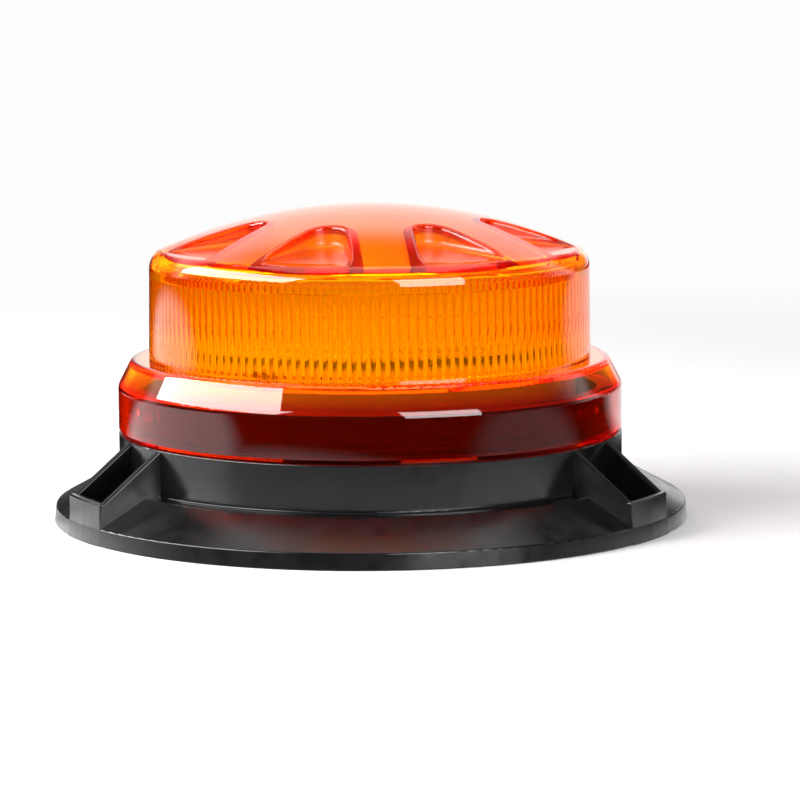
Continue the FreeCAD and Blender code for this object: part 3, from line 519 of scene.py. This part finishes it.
class Form:
    """A shape in the making, worked with the mesh operators."""

    WELD = 1e-7
    WIRE_SIDES = 12
    END_TURN = 0.75

    def __init__(self) -> None:
        """Starts with an empty mesh."""
        self.bm = bmesh.new()

    def turn(self, outline: list[Range], steps: int = 56, closed: bool = False) -> None:
        """Spins an outline round the Z axis.

        Args:
            outline: Pairs of radius and height in millimetres.
            steps: How many steps the full turn has.
            closed: Whether the last point joins the first.
        """
        verts = [self.bm.verts.new((radius * MM, 0, height * MM)) for radius, height in outline]
        pairs = list(zip(verts, verts[1:])) + ([(verts[-1], verts[0])] if closed else [])
        edges = [self.bm.edges.new(pair) for pair in pairs]
        bmesh.ops.spin(self.bm, geom=verts + edges, cent=(0, 0, 0), axis=(0, 0, 1), angle=math.tau,
                       steps=steps, use_merge=True)
        self.weld()

    def coil(self, wire: float, radii: Range, height: float, turns: float, steps: int = 28) -> None:
        """Winds a conical coil of round wire up the Z axis, with a flat turn at each end.

        Args:
            wire: The wire's radius in millimetres.
            radii: The coil's radius at its foot and its top in millimetres.
            height: The rise between the middles of its end turns in millimetres.
            turns: How many turns it has.
            steps: How many steps a turn has.
        """
        start = Matrix.Translation((radii[0] * MM, 0, 0)) @ Matrix.Rotation(math.pi / 2, 4, "X")
        made = bmesh.ops.create_circle(self.bm, segments=self.WIRE_SIDES, radius=wire * MM, matrix=start)
        edges = list({edge for vert in made["verts"] for edge in vert.link_edges})
        count = round(turns * steps)
        flat = round(self.END_TURN * steps)
        turn = Matrix.Rotation(math.tau / steps, 3, "Z")
        inward = (radii[1] - radii[0]) / count * MM
        for i in range(count):
            grown = bmesh.ops.extrude_edge_only(self.bm, edges=edges)["geom"]
            ring = {item for item in grown if isinstance(item, bmesh.types.BMVert)}
            edges = [e for e in grown if isinstance(e, bmesh.types.BMEdge) and ring.issuperset(e.verts)]
            bmesh.ops.rotate(self.bm, verts=list(ring), cent=(0, 0, 0), matrix=turn)
            angle = (i + 1) * math.tau / steps
            rising = flat <= i < count - flat
            lift = height / (count - 2 * flat) * MM if rising else 0.0
            step = Vector((math.cos(angle) * inward, math.sin(angle) * inward, lift))
            bmesh.ops.translate(self.bm, verts=list(ring), vec=step)
        bmesh.ops.holes_fill(self.bm, edges=[e for e in self.bm.edges if e.is_boundary], sides=0)
        self.weld()

    def weld(self) -> None:
        """Merges doubles and points the faces outwards."""
        bmesh.ops.remove_doubles(self.bm, verts=self.bm.verts, dist=self.WELD)
        bmesh.ops.recalc_face_normals(self.bm, faces=self.bm.faces)

    def round_edges(self, width: float, above: float = 35.0, segments: int = 3) -> None:
        """Rounds the sharp edges.

        Args:
            width: The rounding's width in millimetres.
            above: The least angle between two faces of a sharp edge, in degrees.
            segments: How many faces the rounding has.
        """
        sharp = [e for e in self.bm.edges if e.is_manifold and math.degrees(e.calc_face_angle()) > above]
        bmesh.ops.bevel(self.bm, geom=sharp, offset=width * MM, segments=segments, affect="EDGES",
                        profile=0.5, material=-1)

    def place(self, spot: Vector, along: Vector) -> None:
        """Lays the shape's Z axis along a direction and moves it.

        Args:
            spot: Where its origin goes.
            along: Where its Z axis points.
        """
        turn = along.to_track_quat("Z", "Y").to_matrix()
        bmesh.ops.rotate(self.bm, verts=self.bm.verts, cent=(0, 0, 0), matrix=turn)
        bmesh.ops.translate(self.bm, verts=self.bm.verts, vec=spot)

    def add(self, other: "Form") -> None:
        """Takes over another shape's mesh.

        Args:
            other: The shape, which is used up.
        """
        mesh = bpy.data.meshes.new("part")
        other.bm.to_mesh(mesh)
        other.bm.free()
        self.bm.from_mesh(mesh)
        bpy.data.meshes.remove(mesh)


@dataclass
class Bench:
    """Where finished shapes become dressed pieces that ride on the model's bodies."""

    shelf: FinishShelf

    def finish(self, form: Form, name: str, body: Body, slot: str,
               replaced: tuple[str, ...]) -> bpy.types.Object:
        """Makes a shape a piece.

        Args:
            form: The shape.
            name: The piece's name.
            body: The body that it moves with.
            slot: The material slot that it takes its finish from.
            replaced: The CAD nodes that it stands for.

        Returns:
            The piece.
        """
        mesh = bpy.data.meshes.new(name)
        form.bm.to_mesh(mesh)
        form.bm.free()
        mesh.shade_smooth()
        piece = bpy.data.objects.new(name, mesh)
        bpy.context.scene.collection.objects.link(piece)
        mesh.materials.append(self.shelf.get(NODE_FINISHES[slot]))
        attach(piece, body.value)
        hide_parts(*replaced)
        LOG.info("made %s: %d faces", name, len(mesh.polygons))
        return piece


@dataclass
class BatteryCells:
    """Four cells, each a sleeved steel can with a nipple at one end."""

    bench: Bench
    count: int = 4
    can_radius: float = 5.05
    sleeve_radius: float = 5.24
    nipple_radius: float = 1.9
    nipple_height: float = 0.9

    def spot(self, index: int) -> tuple[Vector, Vector, float]:
        """Finds a cell.

        Args:
            index: The cell's number from 0.

        Returns:
            The middle of its flat end, the direction of its nipple, and its length in millimetres.
        """
        low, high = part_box(f"battery_cell_{index + 1}")
        along = Vector((0, -1 if index % 2 == 0 else 1, 0))
        middle = (Vector(low) + Vector(high)) / 2
        length = high[1] - low[1]
        return middle - along * length / 2, along, length / MM

    def can(self, length: float) -> Form:
        """Turns the steel can.

        Args:
            length: The cell's length.

        Returns:
            The can, with its dished foot, grooved shoulder and nipple.
        """
        top = length - self.nipple_height
        r, n = self.can_radius, self.nipple_radius
        form = Form()
        foot = [(0, 0.30), (2.9, 0.30), (3.3, 0.06), (4.1, 0.06), (4.6, 0.14), (r, 0.5)]
        shoulder = [(r, top - 0.6), (4.7, top - 0.2), (3.9, top - 0.12), (3.6, top - 0.35),
                    (2.9, top - 0.35), (2.5, top - 0.1)]
        nipple = [(n + 0.12, top - 0.05), (n, top + 0.1), (n - 0.05, length - 0.3),
                  (n - 0.3, length - 0.06), (n - 0.7, length), (0, length)]
        form.turn(foot + shoulder + nipple)
        form.round_edges(0.05, 30.0, 2)
        return form

    def sleeve(self, length: float) -> Form:
        """Turns the shrunk sleeve.

        Args:
            length: The cell's length.

        Returns:
            The sleeve, which curls over both rims.
        """
        top = length - self.nipple_height
        r = self.sleeve_radius
        form = Form()
        outside = [(4.35, 0.02), (4.8, 0.0), (r - 0.1, 0.16), (r, 0.5), (r, top - 0.5),
                   (r - 0.12, top - 0.12), (4.75, top), (4.2, top - 0.02)]
        inside = [(4.2, top - 0.1), (4.7, top - 0.14), (r - 0.15, top - 0.55), (r - 0.15, 0.55),
                  (4.75, 0.12), (4.35, 0.10)]
        form.turn(outside + inside, closed=True)
        form.round_edges(0.04, 40.0, 2)
        return form

    def build(self) -> None:
        """Builds every cell's can and sleeve."""
        for index in range(self.count):
            spot, along, length = self.spot(index)
            node = f"battery_cell_{index + 1}"
            for part, form, slot in (("can", self.can(length), "contact_nickel"),
                                     ("sleeve", self.sleeve(length), "cell_sleeve")):
                form.place(spot, along)
                self.bench.finish(form, f"cell_{part}_{index + 1}", Body.BASE, slot, (node,))


@dataclass
class ContactCoils:
    """The conical coils that press on the cells' flat ends."""

    bench: Bench
    count: int = 4
    wire: float = 0.3
    radii: Range = (3.4, 2.5)
    turns: float = 4.5
    gap: float = 0.05

    def build(self) -> None:
        """Winds the coils, each from its plate to its cell."""
        low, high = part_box("contact_springs")
        coils = Form()
        for index in range(self.count):
            cell_low, cell_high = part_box(f"battery_cell_{index + 1}")
            side = 1 if index % 2 == 0 else -1
            plate = high[1] if side > 0 else low[1]
            flat_end = cell_high[1] if side > 0 else cell_low[1]
            rise = abs(plate - flat_end) / MM - 2 * self.wire
            coil = Form()
            coil.coil(self.wire, self.radii, rise - self.gap, self.turns)
            middle = (Vector(cell_low) + Vector(cell_high)) / 2
            coil.place(Vector((middle.x, plate - side * self.wire * MM, middle.z)), Vector((0, -side, 0)))
            coils.add(coil)
        self.bench.finish(coils, "contact_coils", Body.BASE, "contact_nickel", ("contact_springs",))


@dataclass
class ModeButton:
    """The rubber push button, with a raised ring round a dished middle."""

    bench: Bench
    cap_radius: float = 3.2
    flange_radius: float = 4.0
    flange: float = 1.2
    length: float = 7.1

    def build(self) -> None:
        """Turns the button and lays it along the way it is pressed."""
        press = next(j for j in frame["joints"] if j["name"] == "mode_button_press")
        outwards = -Vector(press["axis"]).normalized()
        node = frame["nodes"]["mode_button"]
        low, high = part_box("mode_button")
        middle = (Vector(low) + Vector(high)) / 2
        reach = max(vert.co.dot(outwards) for vert in node.data.vertices) - self.length * MM
        foot = Vector((outwards.x * reach, outwards.y * reach, middle.z))
        r, top = self.cap_radius, self.length
        form = Form()
        flange = [(0, 0), (self.flange_radius, 0), (self.flange_radius, self.flange), (r, self.flange)]
        ring = [(r, top - 0.75), (r - 0.18, top - 0.3), (r - 0.5, top - 0.06), (r - 0.8, top),
                (r - 1.05, top - 0.05), (r - 1.25, top - 0.28)]
        dish = [(1.2, top - 0.36), (1.05, top - 0.26), (0.8, top - 0.24), (0.65, top - 0.34), (0, top - 0.4)]
        form.turn(flange + ring + dish)
        form.round_edges(0.12, 50.0)
        form.place(foot, outwards)
        self.bench.finish(form, "mode_button_cap", Body.BUTTON, "button_rubber", ("mode_button",))


# ---------------------------------------------------------------- studio


@dataclass(frozen=True)
class Softbox:
    """A rectangular light that faces the object."""

    name: str
    azimuth: float
    elevation: float
    width: float
    height: float
    radiance: float
    distance: float = 0.6

    def build(self, target: Vector) -> None:
        """Adds the light.

        Args:
            target: What it faces.
        """
        light = bpy.data.lights.new(self.name, "AREA")
        light.shape = "RECTANGLE"
        light.size = self.width
        light.size_y = self.height
        light.energy = self.radiance * math.pi * self.width * self.height
        lamp = bpy.data.objects.new(self.name, light)
        bpy.context.scene.collection.objects.link(lamp)
        away = direction(self.azimuth, self.elevation)
        lamp.location = target + away * self.distance
        lamp.rotation_euler = away.to_track_quat("Z", "Y").to_euler()
        lamp.visible_camera = False


@dataclass(frozen=True)
class Flag:
    """A round dark screen before the wall, whose rim fades from one angle to another."""

    azimuth: float
    elevation: float
    inner: float
    outer: float


@dataclass(frozen=True)
class Pool:
    """A round pool of light on the table, which only mirrors in the object."""

    x: float
    y: float
    inner: float
    outer: float
    radiance: float


class SkyNodes(NodeTree):
    """The world's nodes, which read the direction that is looked in."""

    def __init__(self, world: bpy.types.World) -> None:
        """Starts with the direction alone.

        Args:
            world: The world it belongs to.
        """
        super().__init__(world)
        self.place = self.node("ShaderNodeTexCoord").outputs["Generated"]

    def axes(self) -> tuple[Socket, ...]:
        """Splits the direction.

        Returns:
            How far it points to the right, to the back and up.
        """
        parts = self.node("ShaderNodeSeparateXYZ")
        self.link(self.place, parts.inputs["Vector"])
        return tuple(parts.outputs)

    def fade(self, source: Socket, ends: Range, values: Range) -> Socket:
        """Maps one range of values to another with a smooth step."""
        return self.span(source, ends, values, Step.SMOOTH)

    def product(self, one: Socket, two: Socket | float) -> Socket:
        """Multiplies two values."""
        return self.combine("MULTIPLY", one, two)

    def around(self, flag: Flag) -> Socket:
        """Darkens the directions behind a flag.

        Args:
            flag: The flag.

        Returns:
            A value of 0 behind the flag and 1 round it.
        """
        towards = self.measure("DOT_PRODUCT", self.place, direction(flag.azimuth, flag.elevation))
        ends = (math.cos(math.radians(flag.outer)), math.cos(math.radians(flag.inner)))
        return self.fade(towards, ends, (1.0, 0.0))

    def background(self, strength: Socket | None, colour: Colour = (1, 1, 1)) -> Socket:
        """Adds a background.

        Args:
            strength: What drives its strength, or nothing for a strength of 1.
            colour: Its colour.

        Returns:
            The background's shader.
        """
        made = self.node("ShaderNodeBackground", Color=(*colour, 1))
        if strength is not None:
            self.link(strength, made.inputs["Strength"])
        return made.outputs["Background"]

    def choose(self, ray: str, others: Socket, such: Socket) -> Socket:
        """Picks one of two backgrounds by the kind of ray.

        Args:
            ray: The kind of ray, as the light path node names it.
            others: The background for other rays.
            such: The background for such a ray.

        Returns:
            The picked background.
        """
        return self.mixed(self.node("ShaderNodeLightPath").outputs[ray], others, such)

    def finish(self, seen: Socket, through: Socket, pale: Colour) -> None:
        """Ends the tree: what the surfaces mirror, what shines through the lens, and the plain backdrop.

        Args:
            seen: The strength that surfaces mirror.
            through: The strength that shines through the lens.
            pale: The backdrop's colour.
        """
        lit = self.choose("Is Transmission Ray", self.background(seen), self.background(through))
        shown = self.choose("Is Camera Ray", lit, self.background(None, pale))
        output = self.node("ShaderNodeOutputWorld")
        self.link(shown, output.inputs["Surface"])


@dataclass
class Studio:
    """A pale floor that runs to a pale horizon, softboxes and the camera."""

    pivot: Vector = Vector((0, 0, 0.030))
    distance: float = 0.660
    azimuth: float = 1.6
    elevation: float = 7.19
    aside: float = 6.07 * MM
    below: float = 6.57 * MM
    roll: float = -0.35
    focal: float = 144.7
    sensor: float = 36
    clip: Range = (0.05, 100)
    bounces: int = 48
    clear_bounces: int = 16
    pale: Colour = (0.98, 0.98, 0.98)
    disc_sides: int = 96
    floor_radius: float = 40
    floor_shade: Colour = (0.9, 0.9, 0.9)
    floor_roughness: float = 0.9
    floor_gloss: float = 0.1
    floor_fades: Range = (0.15, 0.50)
    table_radius: float = 1.2
    table_depth: float = 0.1 * MM
    wall_back: Range = (0.10, 0.62)
    wall_top: Range = (0.45, 0.74)
    wall_light: Range = (0.04, 1.2)
    through_lean: float = 0.9
    through_ends: Range = (-0.25, 0.45)
    through_light: Range = (0.35, 4.2)
    through_right: Range = (-0.1, 0.7)
    through_right_light: Range = (1.0, 0.25)
    flags: tuple[Flag, ...] = (Flag(-145, 2, 18, 30), Flag(145, 14, 12, 24))
    pools: tuple[Pool, ...] = (
        Pool(-0.03, -0.05, 0.105, 0.14, 0.9),
        Pool(-0.080, -0.04, 0.02, 0.05, 2.4),
        Pool(0.09, -0.07, 0.03, 0.07, 1.3),
        Pool(-0.19, -0.01, 0.09, 0.13, 1.5),
        Pool(-0.35, 0.2, 0.10, 0.20, 1.3),
        Pool(0.17, -0.07, 0.05, 0.10, 0.35),
        Pool(0.26, 0.42, 0.20, 0.30, 0.8),
        Pool(0.12, 0.2, 0.07, 0.12, 1.1),
    )
    softboxes: tuple[Softbox, ...] = (
        Softbox("left_softbox", -77, 31, 0.84, 0.30, 12.0),
        Softbox("right_softbox", 33, 18, 0.36, 0.34, 8.0),
        Softbox("top_softbox", 180, 82, 0.80, 0.64, 1.3, 0.8),
    )

    def camera(self) -> None:
        """Places the camera."""
        back = direction(self.azimuth, self.elevation)
        spot = self.pivot + back * self.distance
        right = Vector((0, 0, 1)).cross(back).normalized()
        up = back.cross(right)
        look = self.pivot + right * self.aside - up * self.below
        lens = bpy.data.cameras.new("camera")
        lens.lens = self.focal
        lens.sensor_width = self.sensor
        lens.clip_start, lens.clip_end = self.clip
        camera = bpy.data.objects.new("camera", lens)
        turn = (spot - look).to_track_quat("Z", "Y").to_matrix().to_4x4()
        turn @= Matrix.Rotation(math.radians(self.roll), 4, "Z")
        camera.matrix_world = Matrix.Translation(spot) @ turn
        bpy.context.scene.collection.objects.link(camera)
        bpy.context.scene.camera = camera

    def disc(self, name: str, radius: float, depth: float) -> bpy.types.Object:
        """Lays a flat disc.

        Args:
            name: The disc's name.
            radius: Its radius.
            depth: How far it lies below the flange's underside.

        Returns:
            The disc.
        """
        bm = bmesh.new()
        bmesh.ops.create_circle(bm, cap_ends=True, segments=self.disc_sides, radius=radius,
                                matrix=Matrix.Translation((0, 0, -depth)))
        mesh = bpy.data.meshes.new(name)
        bm.to_mesh(mesh)
        bm.free()
        disc = bpy.data.objects.new(name, mesh)
        bpy.context.scene.collection.objects.link(disc)
        return disc

    def floor(self) -> None:
        """Lays the floor, which is seen from above only."""
        floor = self.disc("floor", self.floor_radius, 0.0)
        floor.visible_glossy = False
        made = NodeMaterial("pale_floor")
        made.set(Base_Color=(*self.floor_shade, 1), Roughness=self.floor_roughness,
                 Specular_IOR_Level=self.floor_gloss)
        fade = made.span(made.measure("LENGTH", made.place), self.floor_fades, step=Step.SMOOTH)
        glow = made.node("ShaderNodeEmission", Color=(*self.pale, 1), Strength=1.0)
        top = made.mixed(fade, made.shader.outputs["BSDF"], glow.outputs["Emission"])
        under = made.node("ShaderNodeNewGeometry").outputs["Backfacing"]
        clear = made.node("ShaderNodeBsdfTransparent").outputs["BSDF"]
        made.link(made.mixed(under, top, clear), made.output.inputs["Surface"])
        floor.data.materials.append(made.material)

    def table(self) -> None:
        """Lays a glowing sheet just under the floor that only mirrors in the object."""
        sheet = self.disc("table_glow", self.table_radius, self.table_depth)
        sheet.visible_camera = False
        sheet.visible_diffuse = False
        sheet.visible_transmission = False
        sheet.visible_shadow = False
        made = NodeMaterial("table_glow")
        lit = [made.span(made.measure("DISTANCE", made.place, (pool.x, pool.y, 0)),
                         (pool.inner, pool.outer), (pool.radiance, 0.0), Step.SMOOTH)
               for pool in self.pools]
        total = lit[0]
        for light in lit[1:]:
            total = made.combine("MAXIMUM", total, light)
        glow = made.node("ShaderNodeEmission", Color=(1, 1, 1, 1))
        made.link(total, glow.inputs["Strength"])
        made.link(glow.outputs["Emission"], made.output.inputs["Surface"])
        sheet.data.materials.append(made.material)

    def world(self) -> None:
        """Lights the room: a pale wall behind, pale sides, and a dim front."""
        world = bpy.data.worlds.new("studio")
        bpy.context.scene.world = world
        sky = SkyNodes(world)
        right, back, up = sky.axes()
        wall = sky.product(sky.fade(back, self.wall_back, (0.0, 1.0)),
                           sky.fade(up, self.wall_top, (1.0, 0.0)))
        for flag in self.flags:
            wall = sky.product(wall, sky.around(flag))
        seen = sky.fade(wall, (0.0, 1.0), self.wall_light)
        over = sky.combine("ADD", back, sky.product(up, self.through_lean))
        through = sky.product(sky.fade(over, self.through_ends, self.through_light),
                              sky.fade(right, self.through_right, self.through_right_light))
        sky.finish(seen, through, self.pale)

    def build(self) -> None:
        """Sets up the whole studio."""
        scene = bpy.context.scene
        scene.view_settings.view_transform = "Standard"
        scene.view_settings.look = "None"
        scene.cycles.use_denoising = True
        scene.cycles.max_bounces = self.bounces
        scene.cycles.transmission_bounces = self.bounces
        scene.cycles.glossy_bounces = self.bounces
        scene.cycles.transparent_max_bounces = self.clear_bounces
        self.camera()
        self.floor()
        self.table()
        self.world()
        for softbox in self.softboxes:
            softbox.build(self.pivot)
        LOG.info("studio is set up")


def main() -> None:
    """Builds the flare's looks in order."""
    logging.basicConfig(level=logging.INFO, format="%(message)s")
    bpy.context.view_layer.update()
    Studio().build()
    shelf = FinishShelf()
    shelf.dress_nodes()
    bench = Bench(shelf)
    for assembly in (BatteryCells(bench), ContactCoils(bench), ModeButton(bench)):
        assembly.build()


if __name__ == "__main__":
    main()
